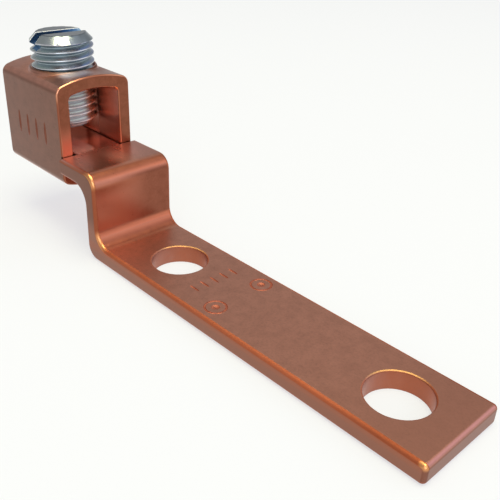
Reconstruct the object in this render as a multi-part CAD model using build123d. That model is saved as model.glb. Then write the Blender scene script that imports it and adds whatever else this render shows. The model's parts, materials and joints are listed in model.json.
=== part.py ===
"""Two-hole mechanical lug for small copper wire: an offset tongue, a closed collar and a clamp screw.

The tongue is one copper strap, bent twice. Its pad is bolted down, and its narrowed tail lies in the
collar, a slice of drawn tube with arched top and bottom. The wire goes in over the tail, and the
slotted screw in the collar's tapped roof clamps it there.

Millimetres. +X runs from the collar to the pad's free end, +Y across the strap, +Z up. The origin is
the middle of the two-hole bolt pattern, on the pad's underside.
"""
from build123d import *
import math
import os

# Strap that the tongue is cut from
strap_width = 9.2
strap_thickness = 1.75
strap_edge_radius = 0.4

# Pad and its two bolt holes
hole_spacing = 25.4
hole_diameter = 5.3
hole_rim_radius = 0.15
end_margin = 5.45            # outer hole's centre to the free end
riser_margin = 7.2           # inner hole's centre to the riser's front face

# Offset: the riser and the arm on top of it
arm_top = 9.05               # top of the arm above the pad's underside
arm_length = 5.95            # collar's front face to the riser's front face
crest_outer_radius = 1.5     # upper bend, seen from above
crest_inner_radius = 1.8     # upper bend, underneath
foot_inner_radius = 1.65     # lower bend, on the pad's side
foot_outer_radius = 1.4      # lower bend, behind the riser

# Collar, and the room for the wire between the tail and the roof
room_width = 5.65
room_height = 6.25           # tail's top to the roof's crown
collar_wall = 1.3
collar_length = 11.1
collar_arch_radius = 12.0    # outside of the roof and of the floor
collar_corner_radius = 0.9
room_corner_radius = 0.55
collar_edge_radius = 0.2
collar_side_shift = -0.12    # the loose collar lies a little to one side
rim_width = 0.12             # flat top of the burr that the tap raises round its hole
rim_slope_width = 0.3        # from the burr's flat top down to the roof
rim_slope_height = 0.7

# Play between the collar and the tail inside it
tail_side_clearance = 0.32
tail_floor_clearance = 0.24
tail_edge_radius = 0.15
shoulder_edge_radius = 0.2   # top edges of the two shoulders, against the collar's front

# Clamp screw, backed off the tail by tip_gap
screw_diameter = 6.3
screw_length = 9.3
screw_top_face = 4.9
screw_tip_face = 4.6
screw_chamfer_height = 0.72
slot_width = 1.0
slot_depth = 1.5
slot_turn = -4.2             # degrees from the line straight across the lug
tip_gap = 1.55
thread_clearance = 0.05      # radial, between the screw and the tapped hole

# Places that follow from the sizes
inner_hole_x = -hole_spacing / 2
outer_hole_x = hole_spacing / 2
pad_end_x = outer_hole_x + end_margin
riser_front_x = inner_hole_x - riser_margin
riser_back_x = riser_front_x - strap_thickness
shoulder_x = riser_front_x - arm_length
tail_end_x = shoulder_x - collar_length
arm_underside = arm_top - strap_thickness
tail_width = room_width - 2 * tail_side_clearance
roof_inside = arm_top + room_height
screw_x = shoulder_x - collar_length / 2
screw_tip = arm_top + tip_gap


def arch_rise(radius, half_chord):
    """Height of an arc of this radius above its chord."""
    return radius - math.sqrt(radius ** 2 - half_chord ** 2)


def tongue():
    """The bent strap: pad, riser and arm in one section, then the tail, shoulders and holes."""
    section = make_face(Polyline(
        (shoulder_x, arm_top), (riser_front_x, arm_top), (riser_front_x, strap_thickness),
        (pad_end_x, strap_thickness), (pad_end_x, 0), (riser_back_x, 0),
        (riser_back_x, arm_underside), (shoulder_x, arm_underside), close=True))
    bends = {
        (riser_front_x, arm_top): crest_outer_radius,
        (riser_back_x, arm_underside): crest_inner_radius,
        (riser_front_x, strap_thickness): foot_inner_radius,
        (riser_back_x, 0): foot_outer_radius,
    }
    for (x, z), radius in bends.items():
        corner = section.vertices().sort_by_distance((x, z, 0))[0]
        section = fillet(corner, radius)
    strap = extrude(Plane.XZ * section, strap_width / 2, both=True)
    shoulder_face = strap.faces().sort_by(Axis.X)[0]
    worn_edges = [
        edge for edge in strap.edges() - shoulder_face.edges()
        if abs(abs(edge.center().Y) - strap_width / 2) < 1e-6 or edge.center().X > pad_end_x - 1e-6]
    strap = fillet(worn_edges, strap_edge_radius)

    # The shoulder's top edge is rounded over the whole width, and the tail then reaches over it.
    round_middle = Pos(shoulder_x + shoulder_edge_radius, 0, arm_top - shoulder_edge_radius)
    corner = round_middle * Box(shoulder_edge_radius, 2 * strap_width, shoulder_edge_radius,
                                align=(Align.MAX, Align.CENTER, Align.MIN))
    strap -= corner - round_middle * Rot(90, 0, 0) * Cylinder(shoulder_edge_radius, 2 * strap_width)
    tail_length = collar_length + 3 * shoulder_edge_radius
    tail = Box(tail_length, tail_width, strap_thickness, align=(Align.MIN, Align.CENTER, Align.MAX))
    tail = Pos(tail_end_x, 0, arm_top) * fillet(tail.edges().filter_by(Axis.X), tail_edge_radius)
    strap = strap + tail

    for hole_x in (inner_hole_x, outer_hole_x):
        strap -= Pos(hole_x, 0, strap_thickness / 2) * Cylinder(hole_diameter / 2, 2 * strap_thickness)
    rims = [
        edge for edge in strap.edges().filter_by(GeomType.CIRCLE)
        if abs(edge.radius - hole_diameter / 2) < 1e-6 and abs(edge.center().Z - strap_thickness) < 1e-6]
    return fillet(rims, hole_rim_radius)


def ring_outline(half_width, top, bottom, arch_radius, corner_radius):
    """Closed outline with straight sides, arched top and bottom, and rounded corners."""
    rise = arch_rise(arch_radius, half_width)
    outline = make_face([
        Line((-half_width, bottom + rise), (-half_width, top - rise)),
        ThreePointArc((-half_width, top - rise), (0, top), (half_width, top - rise)),
        Line((half_width, top - rise), (half_width, bottom + rise)),
        ThreePointArc((half_width, bottom + rise), (0, bottom), (-half_width, bottom + rise)),
    ])
    return fillet(outline.vertices(), corner_radius)


def collar():
    """The slice of drawn tube round the tail, with the screw's hole tapped down through its roof.

    The tap pushes up a narrow burr, so that the hole's edge is level although the roof is arched.
    """
    room_arch_radius = collar_arch_radius - collar_wall
    tail_reach = tail_width / 2 + abs(collar_side_shift)
    floor_inside = arm_underside - tail_floor_clearance - arch_rise(room_arch_radius, tail_reach)
    outside = ring_outline(room_width / 2 + collar_wall, roof_inside + collar_wall,
                           floor_inside - collar_wall, collar_arch_radius, collar_corner_radius)
    inside = ring_outline(room_width / 2, roof_inside, floor_inside, room_arch_radius,
                          room_corner_radius)
    end_plane = Plane(origin=(tail_end_x, collar_side_shift, 0), x_dir=(0, 1, 0), z_dir=(1, 0, 0))
    ring = extrude(end_plane * (outside - inside), collar_length)
    ends = ring.faces().filter_by(Axis.X)
    ring = fillet(ends.edges(), collar_edge_radius)

    # The tap is wider than the room, so it also cuts into both side walls, down to the tail.
    hole_radius = screw_diameter / 2 + thread_clearance
    hole_height = roof_inside + 2 * collar_wall - arm_top
    rim_radius = hole_radius + rim_width
    rim_top = roof_inside + collar_wall
    rim = Pos(screw_x, collar_side_shift, rim_top - rim_slope_height / 2) * Cone(
        rim_radius + rim_slope_width, rim_radius, rim_slope_height)
    ring = ring + rim
    tapped_hole = Pos(screw_x, collar_side_shift, arm_top + hole_height / 2) * Cylinder(
        hole_radius, hole_height)
    return ring - tapped_hole


def clamp_screw():
    """The headless set screw: chamfered top and tip, with a screwdriver slot across the top."""
    radius = screw_diameter / 2
    half_section = make_face(Polyline(
        (0, 0), (screw_tip_face / 2, 0), (radius, screw_chamfer_height),
        (radius, screw_length - screw_chamfer_height), (screw_top_face / 2, screw_length),
        (0, screw_length), close=True))
    blank = revolve(Plane.XZ * half_section, Axis.Z)
    slot = Pos(0, 0, screw_length) * Box(slot_width, 2 * screw_diameter, 2 * slot_depth)
    screw = blank - Rot(0, 0, slot_turn) * slot
    return Pos(screw_x, collar_side_shift, screw_tip) * screw


if __name__ == "__main__":
    os.makedirs("parts", exist_ok=True)
    pieces = {"tongue": tongue(), "collar": collar(), "clamp_screw": clamp_screw()}
    for name, piece in pieces.items():
        export_step(piece, f"parts/{name}.step")
        size = piece.bounding_box().size
        print(f"{name}: {piece.volume:.1f} mm3, {size.X:.2f} x {size.Y:.2f} x {size.Z:.2f} mm")
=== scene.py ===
# %% [markdown]
# # A copper mechanical lug
#
# A mechanical lug joins a bare copper wire to a busbar. This one is a strap bent twice, a collar round
# the strap's tail, and a slotted screw that clamps the wire in the collar. The shapes come from a CAD
# model, which is loaded as a frame that nothing here may move. Blender adds what the CAD leaves out:
# the screw's thread, the stamped marks, the two metals, the light and the camera.

import json
import math

import bmesh
import bpy
from mathutils import Matrix, Quaternion, Vector

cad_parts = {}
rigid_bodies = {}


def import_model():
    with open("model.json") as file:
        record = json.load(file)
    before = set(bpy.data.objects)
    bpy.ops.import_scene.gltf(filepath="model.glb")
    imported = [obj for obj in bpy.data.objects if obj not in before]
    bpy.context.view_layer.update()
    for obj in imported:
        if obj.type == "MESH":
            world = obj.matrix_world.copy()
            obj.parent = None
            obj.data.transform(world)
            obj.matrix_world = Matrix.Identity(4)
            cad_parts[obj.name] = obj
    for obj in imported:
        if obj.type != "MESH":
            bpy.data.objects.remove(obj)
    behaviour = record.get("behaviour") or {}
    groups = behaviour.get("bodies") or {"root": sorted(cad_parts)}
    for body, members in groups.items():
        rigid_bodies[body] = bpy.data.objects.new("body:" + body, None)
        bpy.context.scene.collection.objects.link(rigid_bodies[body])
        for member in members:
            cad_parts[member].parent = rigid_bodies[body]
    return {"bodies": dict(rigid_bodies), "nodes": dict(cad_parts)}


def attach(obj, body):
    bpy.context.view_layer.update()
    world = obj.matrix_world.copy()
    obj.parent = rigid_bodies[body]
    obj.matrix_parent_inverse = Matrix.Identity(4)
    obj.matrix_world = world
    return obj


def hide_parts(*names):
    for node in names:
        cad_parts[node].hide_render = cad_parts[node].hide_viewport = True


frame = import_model()
from_cad = set(frame["nodes"].values()) | set(frame["bodies"].values())
for leftover in [thing for thing in bpy.data.objects if thing not in from_cad]:
    bpy.data.objects.remove(leftover)
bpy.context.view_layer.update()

MM = 0.001  # every length below is written in millimetres and multiplied by this

# %% [markdown]
# ## The camera
#
# The photograph was taken from in front of the pad's free end, a little above. The eye's place, the
# point of the floor that it looks at, and a small roll were solved from the straight edges and the two
# holes. The picture's middle lies beside the lens's axis, so the camera also has a small shift, which
# moves the frame and leaves the perspective alone.

# %% Camera
EYE = Vector((32.69, -35.84, 34.84)) * MM
AIM = Vector((-13.907, 9.121, 0.0)) * MM
ROLL_DEGREES = 2.166
LENS_MM = 50.0
SENSOR_MM = 36.0
SHIFT = (0.01924, -0.01556)
NEAREST_SEEN = 1 * MM
FARTHEST_SEEN = 10000 * MM

camera_data = bpy.data.cameras.new("camera")
camera_data.lens = LENS_MM
camera_data.sensor_width = SENSOR_MM
camera_data.shift_x = SHIFT[0]
camera_data.shift_y = SHIFT[1]
camera_data.clip_start = NEAREST_SEEN
camera_data.clip_end = FARTHEST_SEEN
camera = bpy.data.objects.new("camera", camera_data)
bpy.context.scene.collection.objects.link(camera)
camera.location = EYE
camera.rotation_mode = "QUATERNION"
roll = Quaternion((0, 0, 1), math.radians(ROLL_DEGREES))
camera.rotation_quaternion = (AIM - EYE).to_track_quat("-Z", "Y") @ roll
bpy.context.scene.camera = camera
print("camera is", round((AIM - EYE).length / MM, 1), "mm from the point it looks at")

# %% [markdown]
# ## Sums on sockets
#
# Shader and geometry nodes do their sums one node at a time, which is slow to write and hard to read.
# A small class can stand for a socket and turn Python's own signs into Math nodes. One method makes
# every other kind of node: its settings first, then the values or links of its sockets.
#
# Most masks in this file are made of three shapes of curve, so these have names of their own: `rising`
# and `falling` are smooth steps, and a `band` is a step up followed by a step down.


# %% Helper: a graph of nodes
class Graph:
    """A node tree that new nodes are added to."""

    def __init__(self, tree):
        self.tree = tree

    def add(self, kind, settings=None, inputs=None, out=0):
        """Makes one node and gives back one of its outputs as a wire, if it has any."""
        node = self.tree.nodes.new(kind)
        for name, value in (settings or {}).items():
            setattr(node, name, value)
        for name, value in (inputs or {}).items():
            if isinstance(value, Wire):
                value.into(node.inputs[name])
            else:
                node.inputs[name].default_value = value
        return Wire(self, node.outputs[out]) if node.outputs else node


print("a graph adds nodes")


# %% Helper: a wire that can be added and multiplied
class Wire:
    """An output socket; its sums are Math nodes."""

    def __init__(self, graph, socket):
        self.graph = graph
        self.socket = socket

    def into(self, socket):
        """Leads the wire into a node's input."""
        self.graph.tree.links.new(self.socket, socket)

    def beside(self, name):
        """Another output of the node that this wire comes from."""
        return Wire(self.graph, self.socket.node.outputs[name])

    def math(self, operation, *others):
        """Any Math node, with this wire as its first value."""
        return self.graph.add("ShaderNodeMath", {"operation": operation}, dict(enumerate([self, *others])))

    def __add__(self, other):
        return self.math("ADD", other)

    __radd__ = __add__

    def __mul__(self, other):
        return self.math("MULTIPLY", other)

    __rmul__ = __mul__

    def __sub__(self, other):
        return self.math("SUBTRACT", other)

    def __rsub__(self, other):
        return self.graph.add("ShaderNodeMath", {"operation": "SUBTRACT"}, {0: other, 1: self})

    def __truediv__(self, other):
        return self.math("DIVIDE", other)

    def __abs__(self):
        return self.math("ABSOLUTE")

    def at_least(self, other):
        return self.math("MAXIMUM", other)

    def at_most(self, other):
        return self.math("MINIMUM", other)

    def clamped(self):
        """The value kept between 0 and 1."""
        return self.at_least(0.0).at_most(1.0)

    def rising(self, low, high):
        """0 below low, 1 above high, and a smooth step between them."""
        return self.graph.add(
            "ShaderNodeMapRange", {"interpolation_type": "SMOOTHSTEP"},
            {"Value": self, "From Min": low, "From Max": high})

    def falling(self, low, high):
        """1 below low, 0 above high, and a smooth step between them."""
        return 1 - self.rising(low, high)

    def band(self, start, full, fading, end):
        """1 from full to fading, 0 before start and after end, with smooth steps between."""
        return self.rising(start, full) * self.falling(fading, end)


print("a wire does sums")


# %% Helpers: the parts of a vector, a distance, and colours laid over each other
def axes(graph, vector):
    """The three parts of a vector as wires."""
    first = graph.add("ShaderNodeSeparateXYZ", None, {0: vector})
    return [first.beside(name) for name in "XYZ"]


def reach(first, second):
    """How far a point is from a line, out of its two distances across that line."""
    return (first * first + second * second).math("SQRT")


def mixed(graph, factor, first, second):
    """Two colours mixed: the first where the factor is 0, the second where it is 1."""
    colours = {}
    for socket, colour in ((6, first), (7, second)):
        colours[socket] = colour if isinstance(colour, Wire) else (*colour, 1.0)
    return graph.add("ShaderNodeMix", {"data_type": "RGBA"}, {0: factor, **colours}, out=2)


def painted_over(graph, colour, paints):
    """A colour with paints laid over it in their order, each where its mask is 1."""
    for mask, paint in paints:
        colour = mixed(graph, mask, colour, paint)
    return colour


print("colours can be mixed and painted over")

# %% [markdown]
# ## Floor and light
#
# Metal shows what surrounds it, so the surroundings are made as carefully as the metal. A studio for
# small bright parts has a white sheet underneath, grey walls, and soft boxes of cloth with a lamp
# inside. Here the sheet is a floor with some light of its own, which keeps it white in the picture and
# in reflections while the rest of it still takes the lug's shadow. The walls are the world, lighter on
# the side that the bends and the end of the pad reflect. The boxes are area lamps: a warm one overhead
# for the bright corners, a cool one in front for the screw and for the room under it, and a weak one
# behind.

# %% Floor
FLOOR_HALF = 600 * MM
FLOOR_DROP = 0.02 * MM  # a hair below the lug, so that the two surfaces don't flicker
FLOOR_COLOUR = (0.64, 0.67, 0.74, 1.0)
FLOOR_GLOW = 0.62

floor_mesh = bpy.data.meshes.new("floor")
corners = [(-FLOOR_HALF, -FLOOR_HALF), (FLOOR_HALF, -FLOOR_HALF),
           (FLOOR_HALF, FLOOR_HALF), (-FLOOR_HALF, FLOOR_HALF)]
floor_mesh.from_pydata([(x, y, -FLOOR_DROP) for x, y in corners], [], [(0, 1, 2, 3)])
floor = bpy.data.objects.new("floor", floor_mesh)
bpy.context.scene.collection.objects.link(floor)
print("floor is", 2 * FLOOR_HALF, "m square")

# %% The sheet on the floor
floor_paint = bpy.data.materials.new("white sheet")
floor_paint.use_nodes = True
floor_paint.node_tree.nodes.clear()
graph = Graph(floor_paint.node_tree)
seen = graph.add("ShaderNodeLightPath", out="Is Camera Ray")
seen = seen.at_least(seen.beside("Is Glossy Ray")).at_least(seen.beside("Is Transmission Ray"))
cloth = graph.add("ShaderNodeBsdfDiffuse", None, {"Color": FLOOR_COLOUR})
glow = graph.add("ShaderNodeEmission", None, {"Color": (1, 1, 1, 1), "Strength": 1.0})
sheet_shader = graph.add("ShaderNodeMixShader", None, {0: seen * FLOOR_GLOW, 1: cloth, 2: glow})
graph.add("ShaderNodeOutputMaterial", None, {"Surface": sheet_shader})
floor_mesh.materials.append(floor_paint)
print("the sheet has", len(graph.tree.nodes), "nodes")

# %% Walls of the room
WALL_FAR = (0.43, 0.43, 0.44)
WALL_LIGHT = (0.80, 0.80, 0.86)
HORIZON = (0.70, 0.70, 0.70)

world = bpy.data.worlds.new("studio")
bpy.context.scene.world = world
world.use_nodes = True
world.node_tree.nodes.clear()
graph = Graph(world.node_tree)
direction = graph.add("ShaderNodeTexCoord", out="Generated")
across, _, height = axes(graph, direction)
walls = mixed(graph, across.rising(-0.35, 0.55), WALL_FAR, WALL_LIGHT)
walls = mixed(graph, height.rising(0.0, 0.3), HORIZON, walls)
backdrop = graph.add("ShaderNodeBackground", None, {"Color": walls, "Strength": 1.0})
graph.add("ShaderNodeOutputWorld", None, {"Surface": backdrop})
print("walls go from", WALL_FAR, "to", WALL_LIGHT)


# %% Soft boxes
def soft_box(name, toward, distance, side, radiance, tint):
    """A square area lamp that faces the lug, as bright as its radiance from every side."""
    lamp = bpy.data.lights.new(name, "AREA")
    lamp.shape = "RECTANGLE"
    lamp.size = lamp.size_y = side
    lamp.energy = radiance * math.pi * side * side
    lamp.color = tint
    thing = bpy.data.objects.new(name, lamp)
    bpy.context.scene.collection.objects.link(thing)
    away = Vector(toward).normalized()
    thing.location = away * distance
    thing.rotation_mode = "QUATERNION"
    thing.rotation_quaternion = away.to_track_quat("Z", "Y")
    print(name, "gives", round(lamp.energy, 2), "W")


soft_box("overhead_box", (0.08, -0.05, 0.99), 450 * MM, 270 * MM, 7.6, (1.0, 0.95, 0.60))
soft_box("back_box", (0.55, 0.70, 0.50), 550 * MM, 360 * MM, 0.50, (0.95, 0.92, 1.0))
soft_box("front_box", (0.70, -0.60, 0.42), 550 * MM, 340 * MM, 2.2, (0.86, 0.94, 1.0))

# %% Colours come out as they are written
bpy.context.scene.view_settings.view_transform = "Standard"
print("view transform is", bpy.context.scene.view_settings.view_transform)

# %% [markdown]
# ## Copper
#
# The strap and the collar are bare copper that has been handled and has browned. Copper is a metal in
# the shader's sense: no light enters it, and its colour tints the reflections. One flat colour would
# look like plastic, so the brown film varies in soft spots and fine specks. Over the film, masks made
# from Object coordinates and from the direction a face looks in paint each place, and much of that paint
# is painted light and shade:
#
# - the long sides and the sawn ends are painted darker, as painted shade
# - the rounded long edges and the bends are painted orange, partly as worn metal and partly in the
#   colour of the warm light that they reflect
# - painted highlights sit on the bends, corners and rims, with painted shade beside them on the bends
# - the punched walls of the holes are painted darker red as painted shade, and lighter on their left
# - the inside of the collar and the tail in it are painted bright, as painted light
# - the tail carries painted reflections, one of them a pale patch that is also less of a metal
#
# The masks are numbers between 0 and 1, and each one mixes in its own colour over the last.


# %% Helpers for metals
def metal_graph(name):
    """A new material, its graph, its principled shader, and the place on the piece in millimetres."""
    material = bpy.data.materials.new(name)
    material.use_nodes = True
    graph = Graph(material.node_tree)
    shader = material.node_tree.nodes["Principled BSDF"]
    shader.inputs["Metallic"].default_value = 1.0
    place = graph.add("ShaderNodeTexCoord", out="Object")
    in_mm = graph.add("ShaderNodeVectorMath", {"operation": "SCALE"}, {0: place, "Scale": 1 / MM})
    return material, graph, shader, in_mm


def noise(graph, place, per_mm, detail, roughness=0.55):
    """Cloudy noise with so many clouds to the millimetre."""
    return graph.add("ShaderNodeTexNoise", None, {
        "Vector": place, "Scale": per_mm, "Detail": detail, "Roughness": roughness})


def stretched(graph, place, scale):
    """The place with each axis scaled, so that a noise on it becomes streaks."""
    return graph.add("ShaderNodeMapping", None, {"Vector": place, "Scale": scale})


def roughened(graph, shader, height, strength, depth):
    """Fine relief on a metal, from a height between 0 and 1."""
    relief = graph.add("ShaderNodeBump", None, {"Height": height, "Strength": strength, "Distance": depth})
    relief.into(shader.inputs["Normal"])


print("helpers for metals are ready")


# %% Helper: what the masks of a piece can read
class Spot:
    """A spot on a piece: where it is, in millimetres, and which way its surface looks."""

    def __init__(self, graph, place):
        self.graph = graph
        self.place = place
        self.x, self.y, self.z = axes(graph, place)
        self.ahead, across, self.up = axes(graph, graph.add("ShaderNodeTexCoord", out="Normal"))
        self.aside = abs(across)
        self.level = abs(self.up)

    def near(self, centre, inner, outer):
        """1 within the inner distance of a point, and 0 beyond the outer one."""
        apart = self.graph.add(
            "ShaderNodeVectorMath", {"operation": "DISTANCE"}, {0: self.place, 1: centre}, "Value")
        return apart.falling(inner, outer)


print("a spot knows its x, y, z, ahead, aside, up and level")

# %% Copper with its brown film
COPPER_CLEAN = (0.64, 0.295, 0.205)
COPPER_BROWN = (0.42, 0.195, 0.14)
COPPER_ROUGHNESS = 0.25
FILM_OVER_PAINT = 0.25  # how much of each paint the film hides
LESS_METAL_LOSS = 0.6  # how far a less metallic place, a painted reflection on the strap's tail, is from a metal


def browned_copper(name, places, stamped_paint):
    """Copper with its brown film all over, and over that the paint of each of its places."""
    material, graph, shader, place = metal_graph(name)
    spots = noise(graph, place, 1.0, 6.0, 0.65)
    specks = noise(graph, place, 5.0, 3.0, 0.7)
    lines = noise(graph, stretched(graph, place, (0.3, 6.0, 6.0)), 1.0, 3.0)
    film = (spots.rising(0.25, 0.75) * 0.6 + specks.rising(0.45, 0.72) * 0.35 + lines * 0.2).clamped()
    stamped = graph.add("ShaderNodeAttribute", {"attribute_name": "stamped"}, None, "Fac")
    paints, duller, less_metal = places(Spot(graph, place))
    cover = 1 - film * FILM_OVER_PAINT
    paints = [(mask * cover, paint) for mask, paint in paints + [(stamped, stamped_paint)]]
    colour = painted_over(graph, mixed(graph, film, COPPER_CLEAN, COPPER_BROWN), paints)
    colour.into(shader.inputs["Base Color"])
    # less of a metal where the strap's tail carries a painted reflection
    if less_metal is not None:
        (1 - less_metal * LESS_METAL_LOSS).into(shader.inputs["Metallic"])
    roughness = (COPPER_ROUGHNESS + duller + film * 0.06 + lines * 0.04).at_least(0.1)
    roughness.into(shader.inputs["Roughness"])
    roughened(graph, shader, lines * 0.6 + specks * 0.4, 0.06, 0.05 * MM)
    print(name, "has", len(paints), "paints and", len(graph.tree.nodes), "nodes")
    return material


# %% [markdown]
# ### The strap's places
#
# The strap was cut from a rolled bar, bent and punched. It could be painted by hand on an image, but an
# image has one size, and this file has none. Here each place is a mask, made of where a spot is and
# which way it looks, and a colour. The lists below are in the order of painting, because each paint
# covers those before it. Lengths in them are millimetres from the middle of the pad's underside.

# %% The strap's sides and end, with painted shade and a painted highlight
PAD_END_X = (17.0, 17.5)  # the pad's end begins here
# Painted shade: the sides, the top near the pad's end and the end's face are painted darker, and the end's
# rounded edge carries a painted pink highlight.
STRAP_SIDE_SHADE = (0.215, 0.092, 0.060)
STRAP_SIDE_HIGH_SHADE = (0.185, 0.076, 0.048)
STRAP_NEAR_END_SHADE = (0.36, 0.15, 0.10)
STRAP_END_SHADE = (0.25, 0.11, 0.078)
STRAP_END_EDGE_HIGHLIGHT = (0.50, 0.23, 0.205)


def long_side(at):
    """The two long sides of the strap, a little more so on the high part."""
    return at.aside.rising(0.82, 0.98) * (0.82 + at.z.rising(2.0, 5.0) * 0.18)


def strap_sides(at):
    """Painted shade on the sides, the top near the end and the end's face; a painted highlight on its edge.
    """
    side = long_side(at)
    end = at.x.rising(*PAD_END_X)
    near_end_shade = at.up.rising(0.9, 0.98) * at.x.rising(6.0, 17.0) * 0.45
    end_face = at.ahead.rising(0.80, 0.98) * end
    end_edge_highlight = at.ahead.band(0.15, 0.4, 0.75, 0.95) * end * at.level.rising(0.1, 0.35)
    return [(side, STRAP_SIDE_SHADE), (side * at.z.rising(3.0, 5.0), STRAP_SIDE_HIGH_SHADE),
            (near_end_shade, STRAP_NEAR_END_SHADE), (end_face, STRAP_END_SHADE), (end_edge_highlight, STRAP_END_EDGE_HIGHLIGHT)]


print("sides:", STRAP_SIDE_SHADE, "and higher up", STRAP_SIDE_HIGH_SHADE)

# %% The strap's bends and the riser between them, with painted highlights and painted shade
# The bends are painted orange, partly as stretched metal and partly in the colour of the warm light they
# reflect. The riser is painted as a lit red face that turns to painted shade toward its right, with painted
# shade on its top and upright edges. Painted shade lies beside the crest's highlight, and a painted
# highlight lies on the foot with painted shade below it.
STRAP_BENT = (0.54, 0.175, 0.095)
STRAP_RISER_LIT = (0.57, 0.205, 0.130)
STRAP_RISER_SHADE = (0.22, 0.070, 0.040)
STRAP_RISER_TOP_SHADE = (0.35, 0.105, 0.058)
STRAP_RISER_EDGE_SHADE = (0.31, 0.078, 0.034)
STRAP_CREST_SHADE = (0.36, 0.115, 0.062)
STRAP_FOOT_HIGHLIGHT = (0.64, 0.205, 0.115)
STRAP_FOOT_SHADE = (0.28, 0.086, 0.054)


def strap_bends(at):
    """The crest and the foot, with painted highlights and shade, and the riser, lit red and turning to
    painted shade.
    """
    offset = at.x.falling(-18.5, -16.5)
    bent = at.ahead.band(0.15, 0.5, 0.80, 0.98) * offset
    riser = at.ahead.rising(0.80, 0.98) * offset
    riser_shade = riser * at.y.rising(-3.0, 2.6)
    riser_top_shade = riser * at.z.rising(6.2, 7.6) * at.y.falling(-2.0, 2.0) * at.up.falling(0.08, 0.3)
    riser_edge_shade = offset * at.aside.band(0.1, 0.35, 0.93, 0.99) * at.level.falling(0.1, 0.5)
    high = at.z.rising(4.0, 5.0)
    crest_shade = offset * high * at.up.band(0.5, 0.75, 0.90, 0.97) * (1 - at.y.rising(-1.5, 3.0) * 0.4)
    foot = offset * (1 - high)
    foot_highlight = foot * at.up.band(0.1, 0.3, 0.42, 0.55)
    foot_shade = foot * at.up.band(0.45, 0.8, 0.92, 1.0)
    return [(bent, STRAP_BENT), (riser, STRAP_RISER_LIT), (riser_shade, STRAP_RISER_SHADE),
            (riser_top_shade, STRAP_RISER_TOP_SHADE), (riser_edge_shade, STRAP_RISER_EDGE_SHADE),
            (crest_shade, STRAP_CREST_SHADE), (foot_highlight, STRAP_FOOT_HIGHLIGHT),
            (foot_shade, STRAP_FOOT_SHADE)]


print("riser goes from", STRAP_RISER_LIT, "to", STRAP_RISER_SHADE)

# %% The strap's rubbed edges, and painted glints on its corners
# The rubbed orange is partly worn metal and partly the painted colour of the warm overhead light, also on
# the top of the sides below the edge; near the pad's end it is painted darker as painted shade.
STRAP_RUBBED = (0.46, 0.125, 0.052)
STRAP_RUBBED_NEAR_END_SHADE = (0.335, 0.091, 0.042)
STRAP_CORNER_BROWN = (0.22, 0.085, 0.055)
STRAP_GLINT = (0.77, 0.35, 0.14)
# the three places of the painted glints
CREST_CORNER = (-20.5, -4.5, 8.55)
FOOT_CORNER = (-19.35, -4.5, 2.4)
PAD_CORNER = (17.9, -4.4, 1.75)


def strap_edges(at):
    """Long edges, orange from wear and painted warm light, painted glints on three corners, and how much
    duller the pad and edges are.
    """
    rubbed = at.aside.band(0.02, 0.20, 0.90, 0.99) * at.level.rising(0.08, 0.3)
    rubbed_side = long_side(at) * at.z.band(0.9, 1.35, 1.8, 2.2) * 0.35
    upright = at.x.rising(*PAD_END_X) * at.ahead.rising(0.1, 0.3) * at.aside.rising(0.1, 0.3)
    upright = upright * at.level.falling(0.05, 0.3)
    # painted glints where the overhead lamp shows on three corners
    bright = at.near(CREST_CORNER, 0.4, 1.25).at_least(at.near(FOOT_CORNER, 0.4, 1.25))
    bright = bright.at_least(at.near(PAD_CORNER, 0.25, 0.6)) * at.aside.band(0.1, 0.4, 0.93, 0.99)
    duller = at.z.falling(1.8, 4.0) * (0.07 + rubbed * (1 - bright) * 0.28)
    return [(rubbed, STRAP_RUBBED), (rubbed * at.x.rising(8.0, 15.0), STRAP_RUBBED_NEAR_END_SHADE),
            (rubbed_side, STRAP_RUBBED), (upright, STRAP_CORNER_BROWN), (bright, STRAP_GLINT)], duller


print("edges are rubbed down to", STRAP_RUBBED)

# %% The strap's two punched holes
TO_THE_RIGHT = (0.68, 0.73)  # a level direction, to the right as the photograph sees the lug
HOLE_X = 12.7  # each hole is this far from the pad's middle
# A painted glint on the far rim, painted shade on the punched walls, and painted light on their left side.
STRAP_HOLE_RIM_GLINT = (0.74, 0.42, 0.18)
COPPER_PUNCHED_SHADE = (0.40, 0.125, 0.070)
COPPER_HOLE_LEFT_LIGHT = (0.43, 0.190, 0.145)


def rightward(along, across):
    """How far to the right a point is, out of its distances along the strap and across it."""
    return along * TO_THE_RIGHT[0] + across * TO_THE_RIGHT[1]


def strap_holes(at):
    """The sheared walls with painted shade, painted light on their left side, and a painted glint on the far
    rim.
    """
    along = at.x - at.x.math("SIGN") * HOLE_X
    from_hole = reach(along, at.y)
    punched = from_hole.falling(2.66, 2.78)
    rim = from_hole.band(2.66, 2.70, 2.78, 2.84) * at.z.rising(1.55, 1.62)
    rim = rim * (at.y - along * 0.8).rising(1.4, 3.2)
    left_light = (rightward(along, at.y) + noise(at.graph, at.place, 1.5, 3.0) * 2.0).falling(-1.6, 1.4)
    return [(punched, COPPER_PUNCHED_SHADE), (punched * left_light, COPPER_HOLE_LEFT_LIGHT), (rim, STRAP_HOLE_RIM_GLINT)]


print("holes are", 2 * HOLE_X, "mm apart")

# %% The strap's arm, and its tail under the screw, with painted light, shade, shadows and reflections
# Painted light brightens the tail in the collar's room. Then come painted shade on the arm's right, a
# painted shadow under the screw, and two painted reflections on the tail: a pale one on its left, and one of
# the screw's tip.
STRAP_TAIL_LIGHT = (0.95, 0.40, 0.31)
STRAP_ARM_SHADE = (0.45, 0.20, 0.15)
STRAP_TAIL_PALE_REFLECTION = (0.95, 0.57, 0.50)
STRAP_SCREW_SHADOW = (0.21, 0.07, 0.04)
STRAP_TIP_REFLECTION = (0.90, 0.37, 0.34)
# a painted shadow in the seam between the collar and the strap
COPPER_SEAM_SHADOW = (0.06, 0.022, 0.015)


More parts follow.
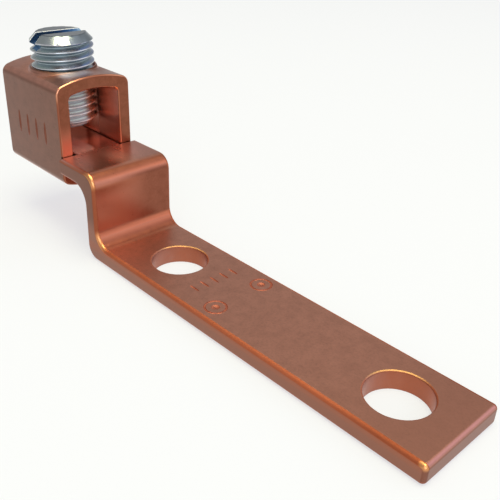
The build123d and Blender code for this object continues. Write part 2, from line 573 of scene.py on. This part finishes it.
def tail_tip_reflection(at, arm_top):
    """A painted reflection of the screw's tip on the tail, with one slanting side, and a fainter less
    metallic strip on the arm.
    """
    # the patch is a painted reflection of the screw's tip
    patch = arm_top * at.x.rising(-30.8, -30.0) * (0.3 + at.x.rising(-30.0, -27.0) * 0.25)
    patch = patch * at.y.falling(-0.4, 0.1) * (at.y + (at.x + 26.7) * 0.57).falling(-0.3, 0.1)
    patch = patch * at.x.falling(-26.5, -25.4)
    faint = at.y.band(-1.2, 0.2, 0.6, 2.0) * (at.x.rising(-25.4, -22.8) * 0.22) + 0.04
    faint = faint * arm_top * at.x.falling(-21.3, -20.5)
    return patch, faint


def strap_arm(at):
    """The arm and the tail in the collar with painted light, shade, shadows and reflections, their gloss and
    their less metallic places.
    """
    arm_top = at.z.rising(8.8, 9.0)
    in_room = arm_top * at.x.falling(-25.9, -20.0)
    beside_room = abs(at.y).rising(2.6, 3.6)
    # painted shade on the arm's right, a painted shadow under the screw, and a painted reflection on the
    # tail's left
    arm_shade = arm_top * at.y.rising(1.8, 3.2) * at.x.falling(-21.8, -20.8) * 0.45
    screw_shadow = arm_top * at.x.falling(-30.0, -28.2)
    pale = in_room * at.y.falling(-3.2, -1.9) * 0.3
    patch, faint = tail_tip_reflection(at, arm_top)
    # a painted shadow in the seam at the collar's front
    seam_shadow = arm_top * at.x.falling(-25.78, -25.64) * abs(at.y).rising(2.6, 2.7)
    duller = in_room * (at.x.rising(-26.8, -25.6) * 0.13 - 0.14)
    return [(in_room * (1 - beside_room * 0.55), STRAP_TAIL_LIGHT), (arm_shade, STRAP_ARM_SHADE),
            (screw_shadow, STRAP_SCREW_SHADOW), (pale, STRAP_TAIL_PALE_REFLECTION), (patch, STRAP_TIP_REFLECTION),
            (seam_shadow, COPPER_SEAM_SHADOW)], duller, patch.at_least(faint)


print("the tail is scuffed to", STRAP_TIP_REFLECTION)

# %% The strap's copper
PAD_STAMPED = (0.46, 0.16, 0.105)


def strap_places(at):
    """All the strap's paints in their order, how much duller each place is, and where it is less of a metal.
    """
    edges, duller_edges = strap_edges(at)
    arm, duller_arm, less_metal = strap_arm(at)
    paints = strap_sides(at) + strap_bends(at) + edges + strap_holes(at) + arm
    return paints, duller_arm + duller_edges, less_metal


strap_copper = browned_copper("strap copper", strap_places, PAD_STAMPED)

# %% [markdown]
# ### The collar's places
#
# The collar was sawn off a drawn tube and then tapped for the screw. Its sides, its two sawn ends and
# the right of its roof are painted darker as painted shade, the rounded edges between them carry
# painted glints, and the roof has a painted reflection in front of the screw and painted shade on the
# burr that the tap raised. Its inside is painted bright as painted light, and redder near the floor.
# The masks are made as the strap's are.

# %% The collar's sides and roof, with painted shade and a painted reflection
SCREW_AXIS = (-31.4, -0.12)
# Painted shade on the sides, on the roof's right and on the burr, and a painted reflection of the screw on
# the roof in front of it.
COLLAR_SIDE_SHADE = (0.146, 0.064, 0.040)
COLLAR_ROOF_SHADE = (0.205, 0.060, 0.030)
COLLAR_ROOF_REFLECTION = (0.97, 0.84, 0.86)
COLLAR_BURR_SHADE = (0.10, 0.042, 0.03)
ROOF_FRONT = (-28.0, -0.9, 16.5)


def collar_outside(at, from_screw):
    """Painted shade on the sides, the roof's right and the burr, a painted reflection in front of the screw,
    and a duller ring.
    """
    side = at.aside.rising(0.80, 0.98)
    up = at.up.rising(0.8, 0.95)
    roof = up * at.y.rising(-0.2, 2.0) * 0.9
    light = at.near(ROOF_FRONT, 1.0, 2.1) * up * (1 - at.x.rising(-27.0, -26.2) * 0.5)
    burr = from_screw.falling(3.25, 3.45) * at.z.rising(15.7, 15.9) * (1 - at.y.rising(-1.5, 0.5) * 0.6)
    duller = up * from_screw.falling(3.8, 5.0) * 0.10
    return [(side, COLLAR_SIDE_SHADE), (roof, COLLAR_ROOF_SHADE), (light, COLLAR_ROOF_REFLECTION),
            (burr, COLLAR_BURR_SHADE)], duller


print("roof goes from", COLLAR_ROOF_SHADE, "to", COLLAR_ROOF_REFLECTION)

# %% The collar's sawn ends, with painted shade and painted glints
COLLAR_MIDDLE_Y = SCREW_AXIS[1]
# The sawn faces are painted darker high up, to the right and below the strap as painted shade. Their rounded
# edges are painted orange, partly as worn metal and partly in the colour of the warm light they reflect,
# darker low down as painted shade, with painted glints at the top corners.
COLLAR_SAWN = (0.64, 0.215, 0.13)
COLLAR_SAWN_SHADE = (0.19, 0.064, 0.034)
COLLAR_EDGE = (0.40, 0.14, 0.07)
COLLAR_EDGE_LOW_SHADE = (0.265, 0.078, 0.042)
COLLAR_CORNER_GLINT = (0.80, 0.36, 0.21)


def collar_ends(at):
    """The sawn faces and their rounded edges with painted shade and corner glints, and a painted shadow in
    the tail's seam.
    """
    lengthwise = abs(at.ahead)
    at_end = at.x.rising(-26.1, -26.05).at_least(at.x.falling(-36.75, -36.7))
    sawn = lengthwise.rising(0.75, 0.97) * at_end
    sawn_shade = sawn * at.z.rising(9.8, 12.5).at_least(at.y.rising(-1.0, 2.5))
    sawn_shade = sawn_shade.at_least(sawn * at.z.falling(7.2, 7.5) * 0.6)
    edge = lengthwise.band(0.15, 0.4, 0.75, 0.95) * at_end
    edge_low_shade = edge * abs(at.y - COLLAR_MIDDLE_Y).rising(3.6, 3.85) * at.z.falling(14.2, 15.2)
    corner = edge * at.z.rising(14.3, 15.6) * abs(at.y).rising(0.5, 2.5)
    # a painted shadow in the seam where the tail goes in
    seam_shadow = at_end * at.z.band(8.4, 8.6, 9.05, 9.2) * lengthwise.falling(0.8, 0.98)
    return [(sawn, COLLAR_SAWN), (sawn_shade, COLLAR_SAWN_SHADE), (edge, COLLAR_EDGE),
            (edge_low_shade, COLLAR_EDGE_LOW_SHADE), (corner, COLLAR_CORNER_GLINT)], seam_shadow


print("sawn ends go from", COLLAR_SAWN, "to", COLLAR_SAWN_SHADE)

# %% The room inside the collar, painted bright as painted light
# Painted light: the room that the lamps hardly reach and the tapped hole's wall are painted bright, and
# redder low down.
COPPER_INSIDE_LIGHT = (0.84, 0.44, 0.34)
COPPER_INSIDE_LOW_LIGHT = (0.74, 0.26, 0.16)


def collar_room(at, from_screw):
    """Painted light on the walls of the wire's room, which the tap has grooved, and of the tapped hole above
    it, redder low down.
    """
    in_hole = from_screw.falling(3.22, 3.26)
    in_room = abs(at.y - COLLAR_MIDDLE_Y).falling(2.84, 2.94).at_least(in_hole)
    in_room = in_room * at.x.falling(-26.1, -25.9) * at.z.falling(15.3, 15.4)
    tapped = in_hole * at.z.rising(15.2, 15.3)
    return [(in_room.at_least(tapped), COPPER_INSIDE_LIGHT),
            (in_room * at.z.falling(10.0, 12.5), COPPER_INSIDE_LOW_LIGHT)], in_room * 0.06


print("room goes from", COPPER_INSIDE_LIGHT, "down to", COPPER_INSIDE_LOW_LIGHT)

# %% The collar's copper
COLLAR_STAMPED = (0.17, 0.055, 0.035)


def collar_places(at):
    """All the collar's paints in their order, and how much duller each place is. None of it is less of a
    metal.
    """
    from_screw = reach(at.x - SCREW_AXIS[0], at.y - SCREW_AXIS[1])
    outside, duller_outside = collar_outside(at, from_screw)
    ends, seam_shadow = collar_ends(at)
    room, duller_room = collar_room(at, from_screw)
    return outside + ends + room + [(seam_shadow, COPPER_SEAM_SHADOW)], duller_room + duller_outside, None


collar_copper = browned_copper("collar copper", collar_places, COLLAR_STAMPED)

# %% [markdown]
# ## Zinc
#
# The screw is steel with a bright zinc coat. A clear bath after the zinc leaves a thin film with
# colours like those of oil on water: here it is blue on one side of the screw and straw-green on the
# other. The chamfer's right side and the far half of the top are painted darker as painted shade. The
# crests of the thread are rubbed bright, and the roots are painted darker as painted shade. The crests
# and roots are told apart by their distance from the screw's axis, which plain sums give.
#
# Below the roof the coat is fresh. One side of it is painted copper, as a painted reflection of the
# copper wall beside it, and the other is powdery, which scatters light, so it is less of a metal there.
# On that side the crests and the flanks of the thread carry painted highlights as thin pale lines. The
# tip is painted near white as painted light, so that the tail under it mirrors something bright.

# %% Zinc film, and the screw's top
SCREW_TIP_Z = 10.6
SCREW_TOP_Z = 19.9
ZINC_SILVER = (0.42, 0.46, 0.48)
ZINC_BLUE = (0.33, 0.40, 0.56)
ZINC_STRAW = (0.38, 0.44, 0.42)
# painted shade on the chamfer's right side and on the top's far half
ZINC_CHAMFER_SHADE = (0.28, 0.33, 0.36)
ZINC_TOP = (0.195, 0.230, 0.255)
ZINC_TOP_FAR_SHADE = (0.155, 0.190, 0.215)

zinc, graph, shader, place = metal_graph("bright zinc")
x, y, z = axes(graph, place)
from_axis_x = x - SCREW_AXIS[0]
from_axis_y = y - SCREW_AXIS[1]
clouds = noise(graph, place, 0.8, 3.0)
one_side = rightward(from_axis_x, from_axis_y) + (clouds - 0.5) * 3.0
below_chamfer = z.falling(SCREW_TOP_Z - 0.75, SCREW_TOP_Z - 0.65)
top = z.rising(SCREW_TOP_Z - 0.08, SCREW_TOP_Z - 0.05)
colour = mixed(graph, one_side.rising(0.4, 2.6) * (below_chamfer * 0.8 + 0.2), ZINC_SILVER, ZINC_BLUE)
# The chamfer's right side and the far half of the top are painted darker as painted shade.
colour = painted_over(graph, colour, [
    (one_side.falling(-2.6, -0.4), ZINC_STRAW),
    ((1 - below_chamfer) * one_side.rising(0.8, 2.2), ZINC_CHAMFER_SHADE),
    (top, ZINC_TOP),
    (top * from_axis_x.falling(-0.9, -0.5), ZINC_TOP_FAR_SHADE)])
print("the film goes from", ZINC_BLUE, "to", ZINC_STRAW)

# %% Zinc on the thread
# the roots of the thread are painted darker as painted shade
ZINC_ROOT_SHADE = (0.36, 0.42, 0.45)
ZINC_RUBBED = (0.52, 0.54, 0.57)

radius = reach(from_axis_x, from_axis_y)
threaded = z.band(SCREW_TIP_Z + 0.3, SCREW_TIP_Z + 0.7, SCREW_TOP_Z - 0.95, SCREW_TOP_Z - 0.75)
root = radius.falling(2.75, 3.08) * threaded
crest = radius.rising(3.09, 3.14)
colour = painted_over(graph, colour, [(root, ZINC_ROOT_SHADE), (crest, ZINC_RUBBED)])
print("the thread goes from", ZINC_ROOT_SHADE, "in its root to", ZINC_RUBBED)

# %% Zinc in the wire's room, with a painted reflection and painted highlights
# On the side toward the copper wall the zinc is painted copper, as a painted reflection of that wall; on the
# other side the crests and flanks carry painted highlights.
ZINC_CLEAN = (0.46, 0.49, 0.53)
ZINC_COPPER_REFLECTION = (0.72, 0.55, 0.47)
ZINC_CREST_HIGHLIGHT_IN_ROOM = (0.84, 0.78, 0.76)
ZINC_FLANK_HIGHLIGHT_IN_ROOM = (0.78, 0.95, 0.95)

in_room = z.falling(14.6, 15.4)
toward_wall = from_axis_y + (clouds - 0.5) * 0.8
clean = in_room * toward_wall.falling(0.3, 1.2)
flank = radius.band(2.68, 2.78, 2.88, 2.98) * threaded
colour = painted_over(graph, colour, [
    (clean, ZINC_CLEAN),
    (in_room * toward_wall.rising(0.5, 1.3), ZINC_COPPER_REFLECTION),
    (in_room * crest * 0.5, ZINC_CREST_HIGHLIGHT_IN_ROOM),
    (clean * flank * 0.9, ZINC_FLANK_HIGHLIGHT_IN_ROOM)])
print("the fresh coat is", ZINC_CLEAN, "and mirrors", ZINC_COPPER_REFLECTION)

# %% Zinc on the tip and in the slot, and its gloss
# The tip is painted near white as painted light, so that the tail under it mirrors something bright.
ZINC_TIP_LIGHT = (0.92, 0.90, 0.92)
ZINC_SLOT = (0.32, 0.47, 0.64)
POWDERY_METAL_LOSS = 0.6
ZINC_ROUGHNESS = 0.17

# painted light on the tip's face
tip = z.falling(SCREW_TIP_Z + 0.02, SCREW_TIP_Z + 0.06)
slot_walls = graph.add("ShaderNodeAttribute", {"attribute_name": "slot"}, None, "Fac")
colour = painted_over(graph, colour, [(tip, ZINC_TIP_LIGHT), (slot_walls, ZINC_SLOT)])
colour.into(shader.inputs["Base Color"])
(1 - clean * POWDERY_METAL_LOSS).into(shader.inputs["Metallic"])
grain = noise(graph, place, 7.0, 3.0)
(ZINC_ROUGHNESS + grain * 0.08 + root * 0.1).into(shader.inputs["Roughness"])
roughened(graph, shader, grain, 0.03, 0.02 * MM)
print("zinc has", len(graph.tree.nodes), "nodes")

# %% [markdown]
# ## Geometry nodes, tried out and then made plain
#
# Each tree below has named inputs for its sizes. Its result is turned into a plain mesh, so that what
# is kept is a shape and not a recipe. The first helpers build a tree with its inputs, cut one mesh with
# another, and take the tree's result.


# %% Helpers: how a geometry tree begins and ends
def geometry_tree(name, sizes, takes_mesh):
    """The graph of a new geometry tree with an input for each size, and the wires of its inputs."""
    tree = bpy.data.node_groups.new(name, "GeometryNodeTree")
    if takes_mesh:
        tree.interface.new_socket("Mesh", in_out="INPUT", socket_type="NodeSocketGeometry")
    for size, value in sizes.items():
        kind = "NodeSocketInt" if isinstance(value, int) else "NodeSocketFloat"
        tree.interface.new_socket(size, in_out="INPUT", socket_type=kind)
    tree.interface.new_socket("Material", in_out="INPUT", socket_type="NodeSocketMaterial")
    tree.interface.new_socket("Mesh", in_out="OUTPUT", socket_type="NodeSocketGeometry")
    graph = Graph(tree)
    entry = tree.nodes.new("NodeGroupInput")
    return graph, {socket.name: Wire(graph, socket) for socket in entry.outputs if socket.name}


def finish_tree(graph, mesh, material):
    """Ends a tree: real meshes, one material, and the output."""
    whole = graph.add("GeometryNodeRealizeInstances", None, {0: mesh})
    painted = graph.add("GeometryNodeSetMaterial", None, {"Geometry": whole, "Material": material})
    graph.add("NodeGroupOutput", None, {0: painted})


def vector(graph, **parts):
    """A vector from the parts that are named, X, Y or Z; the others are 0."""
    return graph.add("ShaderNodeCombineXYZ", None, parts)


print("geometry trees can be begun and ended")


# %% Helpers: a cut that leaves a mark, and the result as a plain piece
def cut_and_marked(graph, body, tool, mark):
    """The body without the tool's shape; the new faces carry the mark as an attribute."""
    parts = []
    for mesh, value in ((body, 0.0), (tool, 1.0)):
        parts.append(graph.add("GeometryNodeStoreNamedAttribute", {"data_type": "FLOAT", "domain": "FACE"},
                               {"Geometry": mesh, "Name": mark, "Value": value}))
    return graph.add("GeometryNodeMeshBoolean", {"operation": "DIFFERENCE", "solver": "EXACT"},
                     {"Mesh 1": parts[0], "Mesh 2": parts[1]})


def made_plain(name, start_mesh, tree, sizes, material):
    """Runs a tree on a mesh and gives back the result as a plain mesh object."""
    thing = bpy.data.objects.new(name, start_mesh)
    bpy.context.scene.collection.objects.link(thing)
    modifier = thing.modifiers.new("recipe", "NODES")
    modifier.node_group = tree
    values = {**sizes, "Material": material}
    for socket in tree.interface.items_tree:
        if socket.in_out == "INPUT" and socket.name in values:
            modifier[socket.identifier] = values[socket.name]
    bpy.context.view_layer.update()
    evaluated = thing.evaluated_get(bpy.context.evaluated_depsgraph_get())
    plain = bpy.data.meshes.new_from_object(evaluated)
    thing.modifiers.clear()
    thing.data = plain
    plain.name = name
    print(name, "has", len(plain.polygons), "faces")
    return thing


print("results can be made plain")

# %% [markdown]
# ## The clamp screw
#
# It is a headless set screw: a turned blank with a chamfer at both ends, a thread of small ridges, and
# a slot. A ridge could be swept along a helix, but then it would have to be cut off at both ends and
# joined to the core. Here a flat grid is rolled up instead. Its rows climb one pitch in a turn, so the
# edges of the ridge are rows of the grid, and each point's radius is the smaller of the thread's and
# the blank's. So the thread runs out into the chamfers as it does on a lathe, and the ends close by
# themselves.

# %% The screw's sizes
SCREW = {
    "Length": (SCREW_TOP_Z - SCREW_TIP_Z) * MM,
    "Crest Radius": 3.15 * MM,
    "Pitch": 0.794 * MM,
    "Thread Depth": 0.516 * MM,
    "Crest Flat": 0.0992 * MM,
    "First Crest": 0.731 * MM,
    "Run Out": 0.3 * MM,
    "Chamfer Height": 0.72 * MM,
    "Top Radius": 2.45 * MM,
    "Tip Radius": 2.3 * MM,
    "Slot Width": 1.3 * MM,
    "Slot Depth": 1.5 * MM,
    "Slot Turn": math.radians(-4.2),
    "Columns": 97,
    "Rows In Pitch": 16,
}
print("the screw is", round(SCREW["Length"] / SCREW["Pitch"], 1), "pitches long")

# %% A grid whose rows climb one pitch in a turn
graph, size = geometry_tree("threaded screw", SCREW, takes_mesh=False)
end_room = size["Pitch"]
row_height = size["Pitch"] / size["Rows In Pitch"]
climb = size["Length"] + end_room * 2 + size["Pitch"]
rows = (climb / row_height).math("CEIL") + 1
grid = graph.add("GeometryNodeMeshGrid", None, {
    "Size X": 1.0, "Size Y": 1.0, "Vertices X": size["Columns"], "Vertices Y": rows})
grid_x, grid_y, _ = axes(graph, graph.add("GeometryNodeInputPosition"))
across = grid_x + 0.5
row = ((grid_y + 0.5) * (rows - 1)).math("ROUND")
on_row = row * row_height - end_room - size["Pitch"]
along = on_row + across * size["Pitch"]
angle = across * (2 * math.pi)
print("the grid has", SCREW["Columns"], "columns and", SCREW["Rows In Pitch"], "rows in a pitch")

# %% The blank's radius, the thread's, and the smaller of the two
FLANK_ANGLE = math.radians(30)
THREAD_IN_CHAMFER = 0.05 * MM  # how far the thread reaches into the top's chamfer
WELD_DISTANCE = 0.0005 * MM

tip_slope = (along / size["Chamfer Height"]).clamped()
top_slope = ((size["Length"] - along) / size["Chamfer Height"]).clamped()
blank = (size["Tip Radius"] + (size["Crest Radius"] - size["Tip Radius"]) * tip_slope).at_most(
    size["Top Radius"] + (size["Crest Radius"] - size["Top Radius"]) * top_slope)
from_crest = ((on_row - size["First Crest"]) / size["Pitch"] + 0.5).math("FRACT") - 0.5
from_crest = abs(from_crest) * size["Pitch"] - size["Crest Flat"] / 2
flank_width = size["Thread Depth"] * math.tan(FLANK_ANGLE)
thread_end = size["Length"] - size["Chamfer Height"] + THREAD_IN_CHAMFER
depth = size["Thread Depth"] * ((thread_end - along) / size["Run Out"]).clamped()
thread = size["Crest Radius"] - depth * (from_crest / flank_width).clamped()
closing = (along / end_room + 1).clamped().at_most(((size["Length"] - along) / end_room + 1).clamped())
radius = blank.at_most(thread) * closing
height = along.at_least(0.0).at_most(size["Length"])
rolled = vector(graph, X=radius * angle.math("COSINE"), Y=radius * angle.math("SINE"), Z=height)
skin = graph.add("GeometryNodeSetPosition", None, {"Geometry": grid, "Position": rolled})
skin = graph.add("GeometryNodeMergeByDistance", None, {"Geometry": skin, "Distance": WELD_DISTANCE})
print("the flanks lean", round(math.degrees(FLANK_ANGLE)), "degrees")

# %% The slot, and the screw as a plain piece
blade = graph.add("GeometryNodeMeshCube", None, {
    "Size": vector(graph, X=size["Slot Width"], Y=size["Crest Radius"] * 3, Z=size["Slot Depth"] * 2)})
blade = graph.add("GeometryNodeTransform", None, {
    "Geometry": blade,
    "Translation": vector(graph, Z=size["Length"]),
    "Rotation": vector(graph, Z=size["Slot Turn"])})
finish_tree(graph, cut_and_marked(graph, skin, blade, "slot"), size["Material"])
screw = made_plain("threaded_screw", bpy.data.meshes.new("start"), graph.tree, SCREW, zinc)
screw.data.transform(Matrix.Translation(Vector((*SCREW_AXIS, SCREW_TIP_Z)) * MM))

# %% [markdown]
# ## Crisp where it is crisp, smooth where it is round
#
# A mesh is flat pieces, and shading hides their edges by blending the directions of neighbours. Where
# two faces really meet at an edge, that blending has to stop. So edges steeper than a limit are marked
# sharp, and large flat faces get more say in their corners' directions than small rounded strips.

# %% Helper: shading
FLAT_DEGREES = 0.1  # faces that meet at less than this are one face
FLAT_FACES_LEAD = 90


def shaded(piece, sharp_degrees, is_soft=None, refine=None):
    """Smooth shading that stops at steep edges, but for soft ones, and keeps large faces flat."""
    limit = math.radians(sharp_degrees)
    mesh = bmesh.new()
    mesh.from_mesh(piece.data)
    bmesh.ops.dissolve_limit(
        mesh, angle_limit=math.radians(FLAT_DEGREES), verts=mesh.verts, edges=mesh.edges)
    if refine is not None:
        refine(mesh)
    for face in mesh.faces:
        face.smooth = True
    for edge in mesh.edges:
        edge.smooth = len(edge.link_faces) == 2 and (
            edge.calc_face_angle(0.0) < limit or is_soft is not None and is_soft(edge))
    mesh.to_mesh(piece.data)
    mesh.free()
    weighted = piece.modifiers.new("flat faces lead", "WEIGHTED_NORMAL")
    weighted.keep_sharp = True
    weighted.weight = FLAT_FACES_LEAD


print("faces at less than", FLAT_DEGREES, "degrees become one")

# %% [markdown]
# ### The slot's rim
#
# A saw leaves a burr along a slot, and tumbling in a drum breaks it to a tiny bevel, which is what
# catches the light. A Bevel modifier would break every steep edge of the thread too, so the few edges
# between the slot's walls and the screw's top are picked by the way their faces look.

# %% Broken edges of the slot
RIM_WIDTH = 0.05 * MM

slot_across = Vector((math.cos(SCREW["Slot Turn"]), math.sin(SCREW["Slot Turn"]), 0))
rim_lowest = SCREW_TOP_Z * MM - SCREW["Chamfer Height"] - 0.02 * MM


def is_slot_rim(edge):
    """An edge between the slot's wall and the screw's top or chamfer."""
    if len(edge.link_faces) != 2:
        return False
    first, second = [face.normal for face in edge.link_faces]
    walls = [abs(face.dot(slot_across)) > 0.99 for face in (first, second)]
    skyward = [face.z > 0.5 for face in (first, second)]
    near_top = min(point.co.z for point in edge.verts) > rim_lowest
    return near_top and (walls[0] and skyward[1] or walls[1] and skyward[0])


def broken_edges(piece, is_edge, width):
    """Breaks the edges that a test picks, and lets none of the new points stand above the old top."""
    mesh = bmesh.new()
    mesh.from_mesh(piece.data)
    top = max(point.co.z for point in mesh.verts)
    picked = [edge for edge in mesh.edges if is_edge(edge)]
    bmesh.ops.bevel(mesh, geom=picked, offset=width, segments=2, profile=0.5, affect="EDGES")
    for point in mesh.verts:
        point.co.z = min(point.co.z, top)
    mesh.to_mesh(piece.data)
    mesh.free()
    print(piece.name, "has", len(picked), "broken edges")


broken_edges(screw, is_slot_rim, RIM_WIDTH)
shaded(screw, sharp_degrees=25)
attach(screw, "screw")
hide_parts("clamp_screw")

# %% [markdown]
# ## Stamped marks
#
# Such lugs carry marks pressed in with a punch. Here they are plain strokes and rings. A mark painted
# on, or made by a bump in the material, would be lost from the mesh, so a small tool is pressed into a
# copy of the CAD shape: a row of long drops for strokes, and a bent wire for a ring. The tool's faces
# carry an attribute, so that the copper knows where it was stamped.


# %% Helpers: the tools of the stamp
def unit_drop(graph):
    """A ball with a radius of one metre, which is scaled down where it is used."""
    return graph.add("GeometryNodeMeshUVSphere", None, {"Segments": 16, "Rings": 8, "Radius": 1.0})


def stroke_row(graph, size, half_sizes, middle, axis):
    """Drops of the given half sizes in a row along one axis, with the row's middle at a point in mm."""
    start = {name: value * MM for name, value in zip("XYZ", middle)}
    start[axis] = start[axis] - size["Stroke Spacing"] * (size["Stroke Count"] - 1) / 2
    row = graph.add("GeometryNodeMeshLine", None, {
        "Count": size["Stroke Count"],
        "Start Location": vector(graph, **start),
        "Offset": vector(graph, **{axis: size["Stroke Spacing"]})})
    return graph.add("GeometryNodeInstanceOnPoints", None, {
        "Points": row, "Instance": unit_drop(graph), "Scale": half_sizes})


def joined(graph, meshes):
    """Several geometries as one."""
    node = graph.tree.nodes.new("GeometryNodeJoinGeometry")
    for mesh in meshes:
        mesh.into(node.inputs[0])
    return Wire(graph, node.outputs[0])


print("the stamp has drops and rings")

# %% The pad's marks
PAD_MARKS = {
    "Stroke Count": 5,
    "Stroke Spacing": 1.15 * MM,
    "Stroke Length": 1.3 * MM,
    "Stroke Width": 0.24 * MM,
    "Depth": 0.12 * MM,
    "Ring Radius": 0.95 * MM,
    "Dimple Radius": 0.38 * MM,
}
PAD_TOP_Z = 1.75
PAD_ROW_MIDDLE = (-7.8, 0.1, PAD_TOP_Z)
RING_PLACES = ((-4.35, -2.75), (-4.45, 2.8))

pad_graph, size = geometry_tree("pad marks", PAD_MARKS, takes_mesh=True)
pad_stroke = vector(pad_graph, X=size["Stroke Length"] / 2, Y=size["Stroke Width"] / 2, Z=size["Depth"])
pad_tools = [stroke_row(pad_graph, size, pad_stroke, PAD_ROW_MIDDLE, "Y")]
circle = pad_graph.add("GeometryNodeCurvePrimitiveCircle", None, {
    "Resolution": 36, "Radius": size["Ring Radius"]})
wire_section = pad_graph.add("GeometryNodeCurvePrimitiveCircle", None, {
    "Resolution": 8, "Radius": size["Depth"] * 0.9})
ring = pad_graph.add("GeometryNodeCurveToMesh", None, {"Curve": circle, "Profile Curve": wire_section})
dimple = pad_graph.add("GeometryNodeTransform", None, {
    "Geometry": unit_drop(pad_graph),
    "Scale": vector(pad_graph, X=size["Dimple Radius"], Y=size["Dimple Radius"], Z=size["Depth"])})
for ring_x, ring_y in RING_PLACES:
    for tool in (ring, dimple):
        pad_tools.append(pad_graph.add("GeometryNodeTransform", None, {
            "Geometry": tool, "Translation": (ring_x * MM, ring_y * MM, PAD_TOP_Z * MM)}))
pad_tool = pad_graph.add("GeometryNodeRealizeInstances", None, {0: joined(pad_graph, pad_tools)})
finish_tree(pad_graph, cut_and_marked(pad_graph, size["Mesh"], pad_tool, "stamped"), size["Material"])
print("the pad gets", PAD_MARKS["Stroke Count"], "strokes and", len(RING_PLACES), "rings")

# %% The collar's marks
COLLAR_MARKS = {
    "Stroke Count": 4,
    "Stroke Spacing": 1.75 * MM,
    "Stroke Length": 2.4 * MM,
    "Stroke Width": 0.42 * MM,
    "Depth": 0.16 * MM,
}
COLLAR_SIDE_Y = -4.245
COLLAR_ROW_MIDDLE = (-31.45, COLLAR_SIDE_Y, 10.75)

collar_graph, size = geometry_tree("collar marks", COLLAR_MARKS, takes_mesh=True)
collar_stroke = vector(
    collar_graph, X=size["Stroke Width"] / 2, Y=size["Depth"], Z=size["Stroke Length"] / 2)
collar_tool = stroke_row(collar_graph, size, collar_stroke, COLLAR_ROW_MIDDLE, "X")
collar_tool = collar_graph.add("GeometryNodeRealizeInstances", None, {0: collar_tool})
finish_tree(
    collar_graph, cut_and_marked(collar_graph, size["Mesh"], collar_tool, "stamped"), size["Material"])
print("the collar gets", COLLAR_MARKS["Stroke Count"], "strokes")

# %% [markdown]
# ## The strap and the collar, stamped
#
# The strap and the collar keep their CAD shapes, so each is a copy of its node with the tool pressed in.
# Two things of the collar need care before it is shaded. The burr round the tapped hole is rounded in
# life, so its edges stay soft. And the roof is the arc that the tube was drawn to, but the CAD mesh
# spans it with triangles as long as the collar, and a polished metal shows each of them as a streak. So
# they are cut short, and every point of them is put back on the arc.


# %% Helper: a welded copy of a CAD shape
def welded_copy(node):
    """A copy of a CAD node's mesh with its loose triangles joined."""
    mesh = bmesh.new()
    mesh.from_mesh(frame["nodes"][node].data)
    bmesh.ops.remove_doubles(mesh, verts=mesh.verts, dist=WELD_DISTANCE)
    copy = bpy.data.meshes.new(node + " copy")
    mesh.to_mesh(copy)
    open_edges = sum(len(edge.link_faces) != 2 for edge in mesh.edges)
    mesh.free()
    print(node, "copy has", len(copy.polygons), "faces and", open_edges, "open edges")
    return copy


print("CAD shapes can be copied")

# %% The soft burr
BURR_INNER = 3.28 * MM
BURR_OUTER = 3.8 * MM
BURR_FOOT_Z = 15.6 * MM


def is_burr(edge):
    """An edge of the burr round the tapped hole, on top of the roof."""
    axis = Vector(SCREW_AXIS) * MM
    away = [(point.co.xy - axis).length for point in edge.verts]
    lowest = min(point.co.z for point in edge.verts)
    return min(away) > BURR_INNER and max(away) < BURR_OUTER and lowest > BURR_FOOT_Z


print("the burr lies within", round(BURR_OUTER / MM, 2), "mm of the screw's axis")

# %% The drawn roof
ROOF_CROWN_Z = 16.6
ROOF_RADIUS = 12.0
ROOF_LOWEST_Z = 15.9
ROOF_CUTS = [-36.4 + 0.4 * step for step in range(26)]


def drawn_roof(mesh):
    """Cuts the roof's long triangles short and puts their points on the arc that the tube was drawn to."""
    roof = [face for face in mesh.faces if face.normal.z > 0.9 and len(face.verts) < 20
            and face.calc_center_median().z > ROOF_LOWEST_Z * MM]
    parts = roof + [edge for face in roof for edge in face.edges] + [p for face in roof for p in face.verts]
    parts = list(dict.fromkeys(parts))
    for cut in ROOF_CUTS:
        parts = bmesh.ops.bisect_plane(
            mesh, geom=parts, dist=0.0001 * MM, plane_co=(cut * MM, 0, 0), plane_no=(1, 0, 0))["geom"]
    points = [part for part in parts if isinstance(part, bmesh.types.BMVert)]
    for point in points:
        from_middle = point.co.y / MM - COLLAR_MIDDLE_Y
        fall = ROOF_RADIUS - math.sqrt(ROOF_RADIUS ** 2 - from_middle ** 2)
        point.co.z = (ROOF_CROWN_Z - fall) * MM
    print("the roof has", len(roof), "long faces and", len(points), "points after the cuts")


print("the roof is cut", len(ROOF_CUTS), "times")

# %% Stamped tongue and collar
for name, node, tree, sizes, paint, refine in (
        ("stamped_tongue", "tongue", pad_graph.tree, PAD_MARKS, strap_copper, None),
        ("stamped_collar", "collar", collar_graph.tree, COLLAR_MARKS, collar_copper, drawn_roof)):
    piece = made_plain(name, welded_copy(node), tree, sizes, paint)
    shaded(piece, sharp_degrees=30, is_soft=is_burr, refine=refine)
    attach(piece, "lug")
    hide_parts(node)
